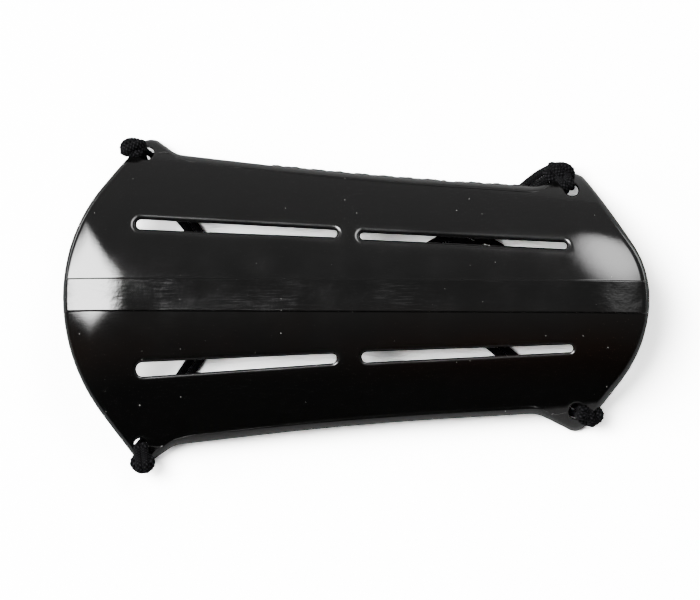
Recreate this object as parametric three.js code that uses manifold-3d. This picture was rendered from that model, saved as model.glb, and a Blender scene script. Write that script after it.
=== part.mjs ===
// Forearm guard of moulded black plastic: an arched shell with a raised string band, four vent
// slots and an ear at each corner. Two doubled elastic cords are knotted at the ears.
// Millimetres. +X runs to the wrist end, +Y to the far long edge, +Z up. The origin lies on the
// surface that the ears stand on, under the middle of the shell.
import * as THREE from 'three';
import { mergeVertices } from 'three/addons/utils/BufferGeometryUtils.js';
import Module from 'manifold-3d';

const wasm = await Module();
wasm.setup();

// Shell
const guardLength = 180;
const crownHeight = 27.5;
const wall = 2.2;
const bandWidth = 9.7;
const bandRise = 0.45;
const bandShoulder = 0.4;
const rimDrop = 2.2;
const rimWidth = { elbowEnd: 1.6, elbowEar: 1.3, waist: 2.4, wristEar: 1.3, wristEnd: 2.4 };
const footSink = 0.25;
const earBlend = 12;
const endFall = { elbow: { reach: 20, drop: 4 }, wrist: { reach: 18, drop: 4 } };

// Half widths of the outline, from the middle line to the long edge and to the tips of the ears
const elbowWaist = 45.4;
const wristWaist = 35.3;
const waistBow = 1.6;
const waistBowRadius = 1100;
const elbowEar = { reach: 50.7, tipRadius: 4, rootRadius: 7, rootAlong: 0.312 };
const wristEar = { reach: 40.4, tipRadius: 4, rootRadius: 10, rootAlong: 0.312 };

// Each end is an arc about the middle line, then a straight flank out to the ear
const endArcs = {
  elbow: { far: { radius: 57, flank: 36.6 }, near: { radius: 61, flank: 36.2 } },
  wrist: { far: { radius: 31.4, flank: 32.2 }, near: { radius: 43, flank: 37.2 } },
};

// Ear holes, from the centre of the ear's round tip
const holeRadius = 2.2;
const earHoles = {
  elbow: { far: { along: -1.1, out: -1.2 }, near: { along: -1.1, out: -1.2 } },
  wrist: { far: { along: -1.3, out: -2 }, near: { along: -0.3, out: -2 } },
};

// Vent slots. along is a share of the half length, out a share of the half width at the waist
// of that end, and the widths and the rounded lip are in millimetres.
const slots = [
  { side: 1, end: 'elbow', along: [-0.751, -0.066], out: [0.484, 0.426], width: [3.1, 2.2], lip: 1.7 },
  { side: -1, end: 'elbow', along: [-0.748, -0.066], out: [0.498, 0.42], width: [4.3, 2.8], lip: 1.15 },
  { side: 1, end: 'wrist', along: [0.013, 0.716], out: [0.527, 0.448], width: [2, 1.9], lip: 1.7 },
  { side: -1, end: 'wrist', along: [0.02, 0.737], out: [0.527, 0.445], width: [3.1, 2.2], lip: 1.15 },
];

const lipLift = 0.03;

// Cords
const cordDiameter = 2.2;
const strandSpacing = 2.55;
const fitGap = 0.32;
const neckRadius = 1.5;
const neckHang = 3.9;
const neckTurn = 0.7;
const cordStep = 5.6;
const tubeSides = 8;

// Knots at the ears: the lump's centre from the centre of its hole, its height above the
// surface that the guard stands on, and its half sizes
const earKnots = [
  {
    name: 'elbow_far_knot', end: 'elbow', side: 1,
    along: -4.2, out: 1.6, height: 9.4, half: [4.2, 3.1, 2.9],
  },
  {
    name: 'elbow_near_knot', end: 'elbow', side: -1,
    along: 0.6, out: 5.3, height: 7.2, half: [3.9, 3.3, 3],
  },
  {
    name: 'wrist_far_knot', end: 'wrist', side: 1,
    along: -3.5, out: 5.5, height: 6.6, half: [4.9, 3.6, 3.2],
  },
  {
    name: 'wrist_near_knot', end: 'wrist', side: -1,
    along: 4.6, out: 1.2, height: 8, half: [4.3, 3.4, 2.9],
  },
];

// The knot that ties the two wrist strands together, with its two cut tails
const joinKnot = {
  centre: [34.6, 19.4, 3.1],
  half: [5, 4.1, 2.8],
  tails: [
    [[36.5, 18, 3.4], [40.4, 14.6, 2.8], [42.6, 10.8, 1.5]],
    [[37, 19.6, 3.6], [42, 18.6, 2.9], [46.4, 16.6, 1.5]],
  ],
};

// Routes of the doubled cords on the surface below, along the middle between the two strands
const elbowRoute = [
  [-65.2, 44.9, 2.3], [-62.2, 37, 1.5], [-59.8, 33, 1.45], [-57.2, 29.3, 1.45],
  [-51.4, 22.6, 1.45], [-46.6, 14.6, 1.45], [-43.8, 5.6, 1.45], [-43.6, -3.4, 1.45],
  [-46.2, -12.2, 1.45], [-50.2, -18.6, 1.45], [-53.8, -24, 1.45], [-58.4, -31.2, 1.45],
  [-60.6, -34.8, 1.45], [-62.6, -38.6, 1.5], [-65.3, -44.8, 2.3],
];
const wristFarRoute = [
  [61.8, 41, 4.4], [57.6, 38.9, 2.2], [53.3, 35.6, 1.45], [48.2, 31.2, 1.45],
  [43, 26.4, 1.7], [39, 22.8, 2.4], [36.6, 20.8, 2.9],
];
const wristNearRoute = [
  [31, 18.8, 2.4], [26.8, 18.3, 1.7], [22.6, 15.8, 1.45], [20.2, 11.2, 1.45],
  [21, 6, 1.45], [24.8, 1.6, 1.45], [30, -2.6, 1.45], [36, -7.6, 1.45], [41.6, -12.2, 1.45],
  [47, -16.6, 1.45], [50.1, -19.2, 1.45], [53.2, -21.8, 1.45], [59.6, -27, 1.45],
  [64.6, -31, 1.5], [67.9, -33.6, 2.3],
];

// How finely the shell is divided
const divisions = {
  bandToFlank: 8, earArc: 3, rootArc: 3, waist: 14, rim: 3, foot: 3, slotEnd: 6, slotLip: 3,
};
const bandLines = 2;
const roundSides = 20;
const lumpSides = 14;
const neckSteps = 8;
const slopeStep = 0.05;

const plastic = { color: 0x131313, roughness: 0.28, metalness: 0 };
const cordFabric = { color: 0x17171a, roughness: 0.95, metalness: 0 };

const radians = THREE.MathUtils.degToRad;
const mix = THREE.MathUtils.lerp;
const halfLength = guardLength / 2;

function solidOf(geometry) {
  const bare = geometry.clone();
  bare.deleteAttribute('normal');
  bare.deleteAttribute('uv');
  const merged = mergeVertices(bare);
  const vertProperties = new Float32Array(merged.attributes.position.array);
  const triVerts = new Uint32Array(merged.index.array);
  return new wasm.Manifold(new wasm.Mesh({ numProp: 3, vertProperties, triVerts }));
}

function geometryOf(solid) {
  const mesh = solid.getMesh();
  const geometry = new THREE.BufferGeometry();
  geometry.setAttribute('position', new THREE.BufferAttribute(mesh.vertProperties, 3));
  geometry.setIndex(new THREE.BufferAttribute(mesh.triVerts, 1));
  return geometry;
}

// Closed body from rings of equal length, each joined to the next, with flat fans on both ends
function solidFromRings(rings) {
  const points = rings.flat();
  const size = rings[0].length;
  const index = [];
  for (let r = 0; r + 1 < rings.length; r += 1) {
    for (let i = 0; i < size; i += 1) {
      const j = (i + 1) % size;
      const a = r * size;
      const b = a + size;
      index.push(a + i, b + j, b + i, a + i, a + j, b + j);
    }
  }
  const last = (rings.length - 1) * size;
  for (let i = 1; i + 1 < size; i += 1) {
    index.push(0, i + 1, i);
    index.push(last, last + i, last + i + 1);
  }
  return solidFromIndex(points, index);
}

function solidFromIndex(points, index) {
  const geometry = new THREE.BufferGeometry();
  geometry.setAttribute('position', new THREE.Float32BufferAttribute(points.flat(), 3));
  geometry.setIndex(index);
  return solidOf(geometry);
}

// One end of the outline on one side, with x counted from the tip of the end inwards:
// an arc about the middle line, a straight flank, and the round tip of the ear
function endShape(end, side) {
  const { radius, flank } = endArcs[end][side > 0 ? 'far' : 'near'];
  const ear = end === 'elbow' ? elbowEar : wristEar;
  const angle = radians(flank);
  const joint = [radius * (1 - Math.cos(angle)), radius * Math.sin(angle)];
  const run = (ear.reach - ear.tipRadius * (1 - Math.sin(angle)) - joint[1]) / Math.cos(angle);
  const earCentre = [
    joint[0] + run * Math.sin(angle) + ear.tipRadius * Math.cos(angle),
    ear.reach - ear.tipRadius,
  ];
  return { radius, angle, joint, run, ear, earCentre };
}

// Where the outline of an end lies at distance y from the middle line, out to the ear
function endPoint(shape, y) {
  if (y <= shape.joint[1]) return [shape.radius - Math.sqrt(shape.radius ** 2 - y ** 2), y];
  return [shape.joint[0] + (y - shape.joint[1]) * Math.tan(shape.angle), y];
}

function arcPoints(centre, radius, from, to, count) {
  const points = [];
  for (let i = 0; i <= count; i += 1) {
    const angle = mix(from, to, i / count);
    points.push([centre[0] + radius * Math.cos(angle), centre[1] + radius * Math.sin(angle)]);
  }
  return points;
}

// Round corner between two straight stretches of the outline
function cornerPoints(before, corner, after, radius, count) {
  const a = new THREE.Vector2(before[0] - corner[0], before[1] - corner[1]).normalize();
  const b = new THREE.Vector2(after[0] - corner[0], after[1] - corner[1]).normalize();
  const half = Math.acos(a.dot(b)) / 2;
  const middle = a.clone().add(b).normalize().multiplyScalar(radius / Math.sin(half));
  const reach = radius / Math.tan(half);
  const from = Math.atan2(a.y * reach - middle.y, a.x * reach - middle.x);
  let sweep = Math.atan2(b.y * reach - middle.y, b.x * reach - middle.x) - from;
  sweep -= 2 * Math.PI * Math.round(sweep / (2 * Math.PI));
  return arcPoints([corner[0] + middle.x, corner[1] + middle.y], radius, from, from + sweep, count);
}

// Angle at which the line from the root corner touches the ear's round tip
function earLeave(shape, root) {
  const dx = root[0] - shape.earCentre[0];
  const dy = root[1] - shape.earCentre[1];
  return Math.atan2(dy, dx) + Math.acos(shape.ear.tipRadius / Math.hypot(dx, dy));
}

// The outline of one end, from the middle line to the middle of the ear's tip. Its first
// points are at the band's top and foot, so that the band's edges run straight.
function endCurve(shape, root) {
  const bandFoot = bandWidth / 2 + bandShoulder;
  const flankEnd = shape.joint[1] + shape.run * Math.cos(shape.angle);
  const points = [endPoint(shape, 0), endPoint(shape, bandWidth / 2), endPoint(shape, bandFoot)];
  for (let i = 1; i <= divisions.bandToFlank; i += 1) {
    points.push(endPoint(shape, mix(bandFoot, flankEnd, i / divisions.bandToFlank)));
  }
  const start = Math.PI - shape.angle;
  const middle = (start + earLeave(shape, root)) / 2;
  const tip = arcPoints(shape.earCentre, shape.ear.tipRadius, start, middle, divisions.earArc);
  points.push(...tip.slice(1));
  return points;
}

// The long edge at one ear, from the middle of the ear's tip to the end of the root's hollow
function earCurve(shape, root, waist) {
  const leave = earLeave(shape, root);
  const middle = (Math.PI - shape.angle + leave) / 2;
  const tip = arcPoints(shape.earCentre, shape.ear.tipRadius, middle, leave, divisions.earArc);
  const hollow = cornerPoints(tip.at(-1), root, waist, shape.ear.rootRadius, divisions.rootArc);
  return [...tip, ...hollow];
}

// The whole outline on one side: both end curves and the long edge between the ears
function sideOutline(side) {
  const elbow = endShape('elbow', side);
  const wrist = endShape('wrist', side);
  const elbowRoot = [halfLength - elbowEar.rootAlong * guardLength, elbowWaist];
  const wristRoot = [halfLength - wristEar.rootAlong * guardLength, wristWaist];
  const waist = [halfLength, (elbowWaist + wristWaist) / 2 - waistBow];
  const waistEnd = [guardLength - wristRoot[0], wristRoot[1]];
  const bow = cornerPoints(elbowRoot, waist, waistEnd, waistBowRadius, divisions.waist);
  const fromElbow = ([x, y]) => [x - halfLength, side * y];
  const fromWrist = ([x, y]) => [halfLength - x, side * y];
  return {
    elbow: endCurve(elbow, elbowRoot).map(fromElbow),
    wrist: endCurve(wrist, wristRoot).map(fromWrist),
    edge: [
      ...earCurve(elbow, elbowRoot, waist).map(fromElbow),
      ...bow.map(fromElbow),
      ...earCurve(wrist, wristRoot, waist).reverse().map(fromWrist),
    ],
    elbowEarCentre: fromElbow(elbow.earCentre),
    wristEarCentre: fromWrist(wrist.earCentre),
  };
}

const outlines = { far: sideOutline(1), near: sideOutline(-1) };

// The closed outline, counter-clockwise from the elbow end's middle: near side, then far side
function closedOutline() {
  const { near, far } = outlines;
  return [
    ...near.elbow,
    ...near.edge.slice(1),
    ...near.wrist.slice(0, -1).reverse(),
    ...far.wrist.slice(1),
    ...far.edge.slice(0, -1).reverse(),
    ...far.elbow.slice(1, -1).reverse(),
  ];
}

function outwardNormals(loop) {
  return loop.map((point, i) => {
    const before = loop[(i + loop.length - 1) % loop.length];
    const after = loop[(i + 1) % loop.length];
    const along = new THREE.Vector2(after[0] - before[0], after[1] - before[1]).normalize();
    return [along.y, -along.x];
  });
}

// Rolled rim: how wide it is at a place on the outline, from widths at the ends, ears and waist
function rimWidthAt([x, y]) {
  const end = x < 0 ? 'elbow' : 'wrist';
  const ear = outlines[y < 0 ? 'near' : 'far'][`${end}EarCentre`];
  const earWidth = rimWidth[`${end}Ear`];
  const beyondEar = Math.abs(x) > Math.abs(ear[0]);
  const plain = beyondEar ? rimWidth[`${end}End`] : rimWidth.waist;
  const { tipRadius } = end === 'elbow' ? elbowEar : wristEar;
  const distance = Math.hypot(x - ear[0], y - ear[1]);
  return mix(earWidth, plain, THREE.MathUtils.smoothstep(distance, tipRadius, tipRadius + earBlend));
}

// The arch: a circular arc across the guard whose radius changes evenly along it, so that the
// tips of all four ears reach the surface below. Both ends droop a little.
const crownLine = crownHeight - bandRise;
const tipDrop = crownLine - rimDrop - wall / 2 + footSink;
const archRadius = (reach) => (reach ** 2 + tipDrop ** 2) / (2 * tipDrop);

function archRadiusAt(x) {
  const from = outlines.far.elbowEarCentre[0];
  const to = outlines.far.wristEarCentre[0];
  return mix(archRadius(elbowEar.reach), archRadius(wristEar.reach), (x - from) / (to - from));
}

function endDroop(x) {
  const { reach, drop } = x < 0 ? endFall.elbow : endFall.wrist;
  return drop * (Math.max(0, Math.abs(x) - halfLength + reach) / reach) ** 2;
}

function surfaceHeight(x, y) {
  const radius = archRadiusAt(x);
  return crownLine - radius + Math.sqrt(radius ** 2 - y ** 2) - endDroop(x);
}

function surfaceNormal(x, y) {
  const dx = surfaceHeight(x + slopeStep, y) - surfaceHeight(x - slopeStep, y);
  const dy = surfaceHeight(x, y + slopeStep) - surfaceHeight(x, y - slopeStep);
  return new THREE.Vector3(-dx, -dy, 2 * slopeStep).normalize();
}

// Plan of the shell's top as a grid inside the rim: lines across at the long edge's points, and
// lines along that run straight beside the band and bend with the long edge further out
function topPlan() {
  const loop = closedOutline();
  const normals = outwardNormals(loop);
  const inset = loop.map((point, i) => {
    const width = rimWidthAt(point);
    return [point[0] - normals[i][0] * width, point[1] - normals[i][1] * width];
  });
  const across = outlines.near.elbow.length - 1;
  const along = outlines.near.edge.length - 1;
  const at = (i) => inset[(i + loop.length) % loop.length];
  const corner = { elbowNear: across, wristNear: across + along, wristFar: 3 * across + along };
  const rows = [];
  for (let k = 0; k <= along; k += 1) {
    const near = at(corner.elbowNear + k);
    const far = at(corner.wristFar + along - k);
    const share = (x, from, to) => (x - from) / (to - from);
    const u = (share(near[0], at(corner.elbowNear)[0], at(corner.wristNear)[0])
      + share(far[0], at(corner.wristFar + along)[0], at(corner.wristFar)[0])) / 2;
    const row = [];
    for (let j = -across; j <= across; j += 1) {
      const elbow = at(-j);
      const wrist = at(corner.wristNear + across + j);
      const line = [mix(elbow[0], wrist[0], u), mix(elbow[1], wrist[1], u)];
      const edge = j < 0 ? near : far;
      const edgeElbow = at(j < 0 ? across : -across);
      const edgeWrist = at(corner.wristNear + (j < 0 ? 0 : 2 * across));
      const edgeLine = [mix(edgeElbow[0], edgeWrist[0], u), mix(edgeElbow[1], edgeWrist[1], u)];
      const bend = Math.max(0, (Math.abs(j) - bandLines) / (across - bandLines)) ** 2;
      row.push([
        line[0] + bend * (edge[0] - edgeLine[0]),
        line[1] + bend * (edge[1] - edgeLine[1]),
      ]);
    }
    rows.push(row);
  }
  return { loop, normals, rows, across, along };
}

const plan = topPlan();

// The shell as one closed body. A swelling above zero makes it thicker all round by that much,
// to cut clear what lies against it.
function shellBody(swelling) {
  const { loop, normals, rows, across, along } = plan;
  const points = [];
  const columns = 2 * across + 1;
  const put = (x, y, z) => points.push([x, y, z]) - 1;
  const outer = rows.map((row) => row.map(([x, y], j) => {
    const normal = surfaceNormal(x, y).multiplyScalar(swelling);
    const flat = Math.abs(j - across) < bandLines && swelling === 0;
    const height = flat ? crownHeight - endDroop(x) : surfaceHeight(x, y);
    return put(x + normal.x, y + normal.y, height + normal.z);
  }));
  const inner = rows.map((row) => row.map(([x, y]) => {
    const normal = surfaceNormal(x, y).multiplyScalar(-wall - swelling);
    return put(x + normal.x, y + normal.y, surfaceHeight(x, y) + normal.z);
  }));
  const border = (grid) => [
    ...grid[0].slice(0, across + 1).reverse(),
    ...grid.slice(1).map((row) => row[0]),
    ...grid[along].slice(1),
    ...grid.slice(0, -1).reverse().map((row) => row[columns - 1]),
    ...grid[0].slice(across + 1, columns - 1).reverse(),
  ];
  const rings = [border(outer)];
  for (let i = 1; i <= divisions.rim; i += 1) {
    const turn = (Math.PI / 2) * (i / divisions.rim);
    rings.push(loop.map(([x, y], k) => {
      const width = rimWidthAt(loop[k]);
      const reach = (width + swelling) * Math.sin(turn) - width;
      const px = x + normals[k][0] * reach;
      const py = y + normals[k][1] * reach;
      const inside = Math.min(reach, 0);
      const height = surfaceHeight(x + normals[k][0] * inside, y + normals[k][1] * inside);
      return put(px, py, height - rimDrop * (1 - Math.cos(turn)) + swelling * Math.cos(turn));
    }));
  }
  for (let i = 1; i <= divisions.foot; i += 1) {
    const turn = Math.PI * (i / divisions.foot);
    const round = wall / 2 + swelling;
    rings.push(loop.map(([x, y], k) => {
      const reach = round * Math.cos(turn) - wall / 2;
      const height = surfaceHeight(x, y) - rimDrop - round * Math.sin(turn);
      return put(x + normals[k][0] * reach, y + normals[k][1] * reach, height);
    }));
  }
  rings.push(border(inner));
  const index = [];
  for (let k = 0; k < along; k += 1) {
    for (let j = 0; j + 1 < columns; j += 1) {
      index.push(outer[k][j], outer[k + 1][j], outer[k + 1][j + 1]);
      index.push(outer[k][j], outer[k + 1][j + 1], outer[k][j + 1]);
      index.push(inner[k][j], inner[k + 1][j + 1], inner[k + 1][j]);
      index.push(inner[k][j], inner[k][j + 1], inner[k + 1][j + 1]);
    }
  }
  for (let r = 0; r + 1 < rings.length; r += 1) {
    for (let i = 0; i < loop.length; i += 1) {
      const j = (i + 1) % loop.length;
      index.push(rings[r][i], rings[r + 1][i], rings[r + 1][j]);
      index.push(rings[r][i], rings[r + 1][j], rings[r][j]);
    }
  }
  return solidFromIndex(points, index);
}

// A slot's outline, grown by a margin: two half circles of different width, joined
function slotOutline(slot, margin) {
  const waist = slot.end === 'elbow' ? elbowWaist : wristWaist;
  const centres = slot.along.map((share, i) => [
    share * halfLength + (slot.width[i] / 2) * (i === 0 ? 1 : -1),
    slot.side * slot.out[i] * waist,
  ]);
  const lean = Math.atan2(centres[1][1] - centres[0][1], centres[1][0] - centres[0][0]);
  const cap = (i, from) => {
    const radius = slot.width[i] / 2 + margin;
    return arcPoints(centres[i], radius, from, from + Math.PI, divisions.slotEnd);
  };
  return [...cap(1, lean - Math.PI / 2), ...cap(0, lean + Math.PI / 2)];
}

// What is cut away for a slot: straight down through the wall, with a rounded lip on top
function slotCutter(slot) {
  const ring = (margin, height) => slotOutline(slot, margin).map(([x, y]) => [x, y, height(x, y)]);
  const rings = [ring(0, () => -wall)];
  for (let i = 0; i <= divisions.slotLip; i += 1) {
    const turn = (Math.PI / 2) * (i / divisions.slotLip);
    const sink = slot.lip * (1 - Math.sin(turn)) - (i === divisions.slotLip ? lipLift : 0);
    rings.push(ring(slot.lip * (1 - Math.cos(turn)), (x, y) => surfaceHeight(x, y) - sink));
  }
  rings.push(ring(slot.lip, () => crownHeight + wall));
  return solidFromRings(rings);
}

function holePlace(end, side) {
  const edge = side > 0 ? 'far' : 'near';
  const ear = outlines[edge][`${end}EarCentre`];
  const hole = earHoles[end][edge];
  return [ear[0] + hole.along, ear[1] + side * hole.out];
}

function holeCutter(end, side, radius) {
  const [x, y] = holePlace(end, side);
  const post = new THREE.CylinderGeometry(radius, radius, 2 * crownHeight, roundSides);
  return solidOf(post.rotateX(Math.PI / 2).translate(x, y, crownHeight / 2));
}

function belowFloor() {
  const slab = new THREE.BoxGeometry(2 * guardLength, 2 * guardLength, guardLength);
  return solidOf(slab.translate(0, 0, -guardLength / 2));
}

const corners = [['elbow', 1], ['elbow', -1], ['wrist', 1], ['wrist', -1]];

function guardShell() {
  let body = shellBody(0);
  for (const slot of slots) body = body.subtract(slotCutter(slot));
  for (const [end, side] of corners) body = body.subtract(holeCutter(end, side, holeRadius));
  return body.subtract(belowFloor());
}

// The room that the shell takes up, with the gap that lies between it and the cords
function shellRoom() {
  let room = shellBody(fitGap);
  for (const [end, side] of corners) room = room.subtract(holeCutter(end, side, holeRadius - fitGap));
  return room;
}

function tube(route, radius, steps) {
  const section = [];
  for (let i = 0; i < tubeSides; i += 1) {
    const angle = (2 * Math.PI * (i + 0.5)) / tubeSides;
    section.push(new THREE.Vector2(radius * Math.cos(angle), radius * Math.sin(angle)));
  }
  const path = new THREE.CatmullRomCurve3(route.map((point) => new THREE.Vector3(...point)));
  const count = steps ?? Math.ceil(path.getLength() / cordStep);
  const options = { extrudePath: path, steps: count, bevelEnabled: false };
  return solidOf(new THREE.ExtrudeGeometry(new THREE.Shape(section), options));
}

function lump(centre, half, margin = 0) {
  const ball = new THREE.SphereGeometry(1, lumpSides, lumpSides / 2 + 1);
  ball.rotateX(Math.PI / 2).scale(half[0] + margin, half[1] + margin, half[2] + margin);
  return solidOf(ball.translate(...centre));
}

function knotCentre(knot) {
  const [x, y] = holePlace(knot.end, knot.side);
  return [x + knot.along, y + knot.side * knot.out, knot.height];
}

// A knot outside an ear, with the neck of its two strands that passes over the ear's rim and
// down through the hole
function earKnot(knot, room) {
  const [x, y] = holePlace(knot.end, knot.side);
  const centre = knotCentre(knot);
  const over = neckRadius + 2 * fitGap;
  const top = surfaceHeight(x, y) + over;
  const half = [(x + centre[0]) / 2, (y + centre[1]) / 2];
  const rim = surfaceHeight(...half) + over;
  const neck = tube([
    centre,
    [half[0], half[1], Math.max(rim, centre[2])],
    [mix(half[0], x, neckTurn), mix(half[1], y, neckTurn), top + neckRadius / 2],
    [x, y, top - over],
    [x, y, neckHang],
  ], neckRadius, neckSteps);
  return lump(centre, knot.half).add(neck).subtract(room);
}

// One strand of a doubled cord: the route's points moved sideways on the surface below
function strandRoute(route, hand) {
  return route.map(([x, y, z], i) => {
    const before = route[Math.max(i - 1, 0)];
    const after = route[Math.min(i + 1, route.length - 1)];
    const along = new THREE.Vector2(after[0] - before[0], after[1] - before[1]).normalize();
    const aside = (hand * strandSpacing) / 2;
    return [x - along.y * aside, y + along.x * aside, z];
  });
}

function strand(route, hand, clearOf) {
  let body = tube(strandRoute(route, hand), cordDiameter / 2);
  for (const other of clearOf) body = body.subtract(other);
  return body;
}

function named(name, solid, look) {
  const mesh = new THREE.Mesh(geometryOf(solid), new THREE.MeshStandardMaterial(look));
  mesh.name = name;
  return mesh;
}

const guard = new THREE.Group();
guard.add(named('guard_shell', guardShell(), plastic));

const room = shellRoom();
for (const knot of earKnots) guard.add(named(knot.name, earKnot(knot, room), cordFabric));

let tied = lump(joinKnot.centre, joinKnot.half);
for (const tail of joinKnot.tails) tied = tied.add(tube(tail, cordDiameter / 2));
guard.add(named('wrist_join_knot', tied.subtract(belowFloor()), cordFabric));

const clearJoin = lump(joinKnot.centre, joinKnot.half, fitGap);
const wristFar = earKnots.find((knot) => knot.name === 'wrist_far_knot');
const clearWristFar = lump(knotCentre(wristFar), wristFar.half, fitGap);
for (const [letter, hand] of [['a', 1], ['b', -1]]) {
  guard.add(named(`elbow_strand_${letter}`, strand(elbowRoute, hand, []), cordFabric));
  const wristFarStrand = strand(wristFarRoute, hand, [clearWristFar, clearJoin]);
  guard.add(named(`wrist_far_strand_${letter}`, wristFarStrand, cordFabric));
  const wristNearStrand = strand(wristNearRoute, hand, [clearJoin]);
  guard.add(named(`wrist_near_strand_${letter}`, wristNearStrand, cordFabric));
}

export default guard;
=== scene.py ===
# A forearm guard of moulded black plastic with two doubled elastic cords, dressed on its solids.
# Metres, in the frame of the solids: +X runs to the wrist end, +Y to the far long edge, +Z up.
import math

import bpy
import numpy as np
from mathutils import Matrix, Vector


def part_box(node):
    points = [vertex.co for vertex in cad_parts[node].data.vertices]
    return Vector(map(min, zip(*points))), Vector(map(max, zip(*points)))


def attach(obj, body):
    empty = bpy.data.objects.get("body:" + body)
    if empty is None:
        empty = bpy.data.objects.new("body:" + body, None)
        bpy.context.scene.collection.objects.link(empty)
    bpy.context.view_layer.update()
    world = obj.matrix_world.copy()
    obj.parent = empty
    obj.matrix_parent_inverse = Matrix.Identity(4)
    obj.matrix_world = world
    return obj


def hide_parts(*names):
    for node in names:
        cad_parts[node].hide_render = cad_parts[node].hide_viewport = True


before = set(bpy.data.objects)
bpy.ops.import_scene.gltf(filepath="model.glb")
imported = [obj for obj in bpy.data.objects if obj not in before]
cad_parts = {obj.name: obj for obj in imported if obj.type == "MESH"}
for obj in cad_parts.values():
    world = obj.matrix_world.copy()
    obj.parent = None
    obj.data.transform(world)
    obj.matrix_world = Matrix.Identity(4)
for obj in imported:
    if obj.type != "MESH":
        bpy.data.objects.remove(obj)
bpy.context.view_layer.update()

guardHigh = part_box("guard_shell")[1]
halfLength = guardHigh.x
crownHeight = guardHigh.z
print("frame loaded, guard length", round(2 * halfLength, 4))


# Camera

view = {
    "target": (-0.0019, -0.0006, 0.015),
    "tilt": 4.0,            # degrees from straight down, towards the near side
    "roll": 0.225,          # degrees, counter-clockwise as the picture is seen
    "distance": 0.985,
    "focalLength": 3192.2,  # in widths of one picture point
    "pictureWidth": 700,
    "sensor": 36.0,
    "clip": (0.01, 30),
}


def makeCamera():
    tilt = math.radians(view["tilt"])
    roll = math.radians(view["roll"])
    forward = Vector((0, math.sin(tilt), -math.cos(tilt)))
    up = Vector((0, math.cos(tilt), math.sin(tilt)))
    right = Vector((1, 0, 0))
    turnedRight = right * math.cos(roll) + up * math.sin(roll)
    turnedUp = up * math.cos(roll) - right * math.sin(roll)
    data = bpy.data.cameras.new("camera")
    data.sensor_width = view["sensor"]
    data.lens = view["focalLength"] / view["pictureWidth"] * view["sensor"]
    data.clip_start, data.clip_end = view["clip"]
    camera = bpy.data.objects.new("camera", data)
    place = Matrix((turnedRight, turnedUp, -forward)).transposed().to_4x4()
    place.translation = Vector(view["target"]) - forward * view["distance"]
    camera.matrix_world = place
    bpy.context.scene.collection.objects.link(camera)
    bpy.context.scene.camera = camera


makeCamera()
print("camera made")


# Shader node groups and materials

def feed(tree, socket, value):
    # a socket takes another node's output or a plain value
    if hasattr(value, "is_linked"):
        tree.links.new(value, socket)
    else:
        socket.default_value = value


def addNode(tree, kind, inputs=None, **settings):
    # the settings come first, because some of them decide which sockets there are
    node = tree.nodes.new("ShaderNode" + kind)
    for name, value in settings.items():
        setattr(node, name, value)
    for socket, value in (inputs or {}).items():
        feed(tree, node.inputs[socket], value)
    return node.outputs


def addMath(tree, operation, first, second=0.0, clamp=False):
    return addNode(tree, "Math", {0: first, 1: second}, operation=operation, use_clamp=clamp)[0]


def addProduct(tree, first, second, clamp=False):
    return addMath(tree, "MULTIPLY", first, second, clamp)


def addSum(tree, *parts):
    total = parts[0]
    for part in parts[1:]:
        total = addMath(tree, "ADD", total, part)
    return total


def addNoise(tree, vector, scale, detail=2.0, roughness=0.5):
    return addNode(tree, "TexNoise", {"Vector": vector, "Scale": scale, "Detail": detail,
                                      "Roughness": roughness})["Fac"]


def addStretch(tree, vector, scale):
    return addNode(tree, "Mapping", {"Vector": vector, "Scale": scale})["Vector"]


def addRange(tree, value, low, high, newLow=0.0, newHigh=1.0):
    return addNode(tree, "MapRange", {"Value": value, "From Min": low, "From Max": high,
                                      "To Min": newLow, "To Max": newHigh})["Result"]


def addMix(tree, share, first, second):
    # the colour sockets of a mix node have no names of their own, only places
    return addNode(tree, "Mix", {0: share, 6: first, 7: second}, data_type="RGBA")[2]


def addAxes(tree, vector):
    return addNode(tree, "SeparateXYZ", {0: vector})


def addGroup(tree, group, **inputs):
    return addNode(tree, "Group", inputs, node_tree=group)[0]


def newGroup(name, *numbers):
    # a group that takes a vector and these numbers, and puts out a mask
    group = bpy.data.node_groups.new(name, "ShaderNodeTree")
    group.interface.new_socket("Vector", in_out="INPUT", socket_type="NodeSocketVector")
    for label in numbers:
        group.interface.new_socket(label, in_out="INPUT", socket_type="NodeSocketFloat")
    group.interface.new_socket("Mask", in_out="OUTPUT", socket_type="NodeSocketFloat")
    start = group.nodes.new("NodeGroupInput")
    end = group.nodes.new("NodeGroupOutput")
    return group, start.outputs, end.inputs["Mask"]


# Specks: cells of a Voronoi pattern whose own random number is below a share show a dot at their
# point, smaller where the cell's second number is lower
def makeSpeckGroup():
    group, given, result = newGroup("dustSpecks", "Scale", "Share", "Size")
    cells = addNode(group, "TexVoronoi", {"Vector": given["Vector"], "Scale": given["Scale"]},
                    voronoi_dimensions="2D")
    split = addNode(group, "SeparateColor", {"Color": cells["Color"]})
    chosen = addMath(group, "LESS_THAN", split[0], given["Share"])
    size = addProduct(group, given["Size"], split[1])
    dot = addMath(group, "LESS_THAN", cells["Distance"], size)
    feed(group, result, addProduct(group, chosen, dot))
    return group


scuffShape = {
    "stretch": (0.035, 1.0, 1.0),
    "fineDetail": 3.0,
    "sharpness": 9.0,
    "patches": (45.0, 3.0),          # scale and detail of a noise
    "patchRange": (0.42, 0.62),
}


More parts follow.
